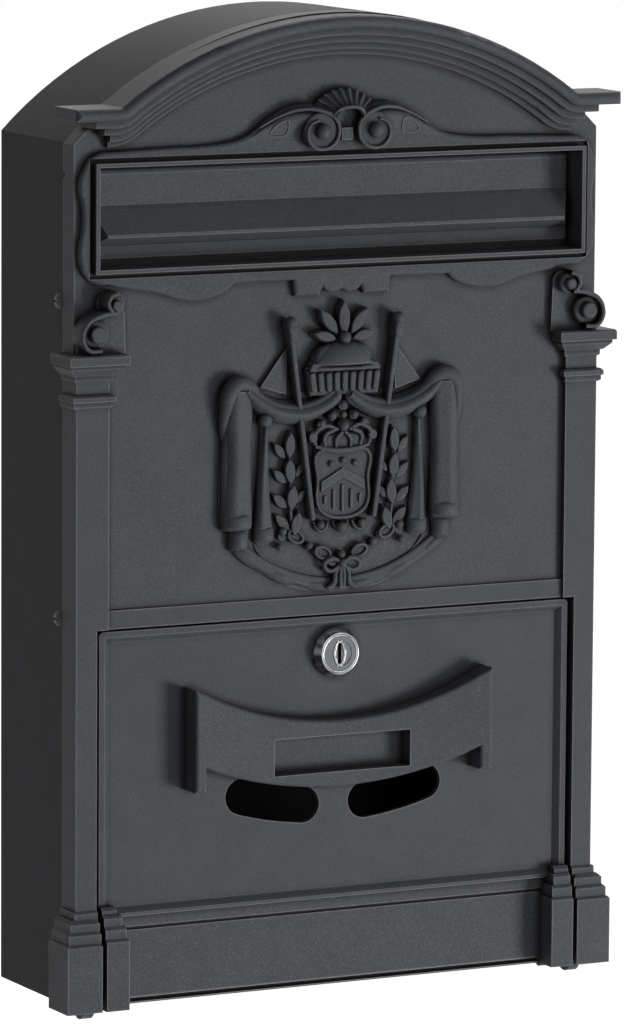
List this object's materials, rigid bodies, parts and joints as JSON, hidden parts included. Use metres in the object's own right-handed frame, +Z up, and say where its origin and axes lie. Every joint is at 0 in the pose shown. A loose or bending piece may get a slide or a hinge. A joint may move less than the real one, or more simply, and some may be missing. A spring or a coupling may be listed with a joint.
{
  "type": "wall mounted post box",
  "caption": "Wall mounted post box: cast front with arched cornice, letter flap, relief panel and locking lower door on a folded sheet body",
  "frame": {"origin": "centre of the four wall holes, in the plane of the wall", "axes": "+Z up, front faces -Y, +X to the right seen from the front; the back plate lies on the plane y = 0"},
  "size_m": [0.2566, 0.0858, 0.4148],
  "materials": {
    "cast_paint": "fine textured anthracite powder coat on an aluminium casting",
    "sheet_paint": "fine textured anthracite powder coat on steel sheet",
    "zinc": "bright zinc plated steel",
    "chrome": "chrome plated",
    "black_screw": "black painted steel screw"
  },
  "bodies": {
    "case": {"front_casting": "cast_paint", "flap_hinge_rod": "zinc", "rod_clip_left": "zinc", "rod_clip_right": "zinc", "body_shell": "sheet_paint", "back_plate": "sheet_paint", "bottom_plate": "sheet_paint", "door_hinge_pin_left": "zinc", "door_hinge_pin_right": "zinc", "side_screws": "black_screw"},
    "flap": {"letter_flap": "cast_paint"},
    "door": {"lower_door": "cast_paint", "lock_barrel": "chrome", "lock_washer": "zinc", "lock_nut": "zinc"},
    "lock_core": {"lock_plug": "chrome", "lock_cam": "zinc", "cam_washer": "zinc", "cam_screw": "zinc"}
  },
  "joints": [
    {"name": "flap_hinge", "type": "hinge", "parent": "case", "child": "flap", "pos_m": [0, -0.0616, 0.146], "axis": [-1, 0, 0], "range_deg": [0, 80]},
    {"name": "door_hinge", "type": "hinge", "parent": "case", "child": "door", "pos_m": [0, -0.0685, -0.1984], "axis": [1, 0, 0], "range_deg": [0, 100]},
    {"name": "lock_turn", "type": "hinge", "parent": "door", "child": "lock_core", "pos_m": [0, -0.072, -0.0581], "axis": [0, -1, 0], "range_deg": [0, 90]}
  ]
}
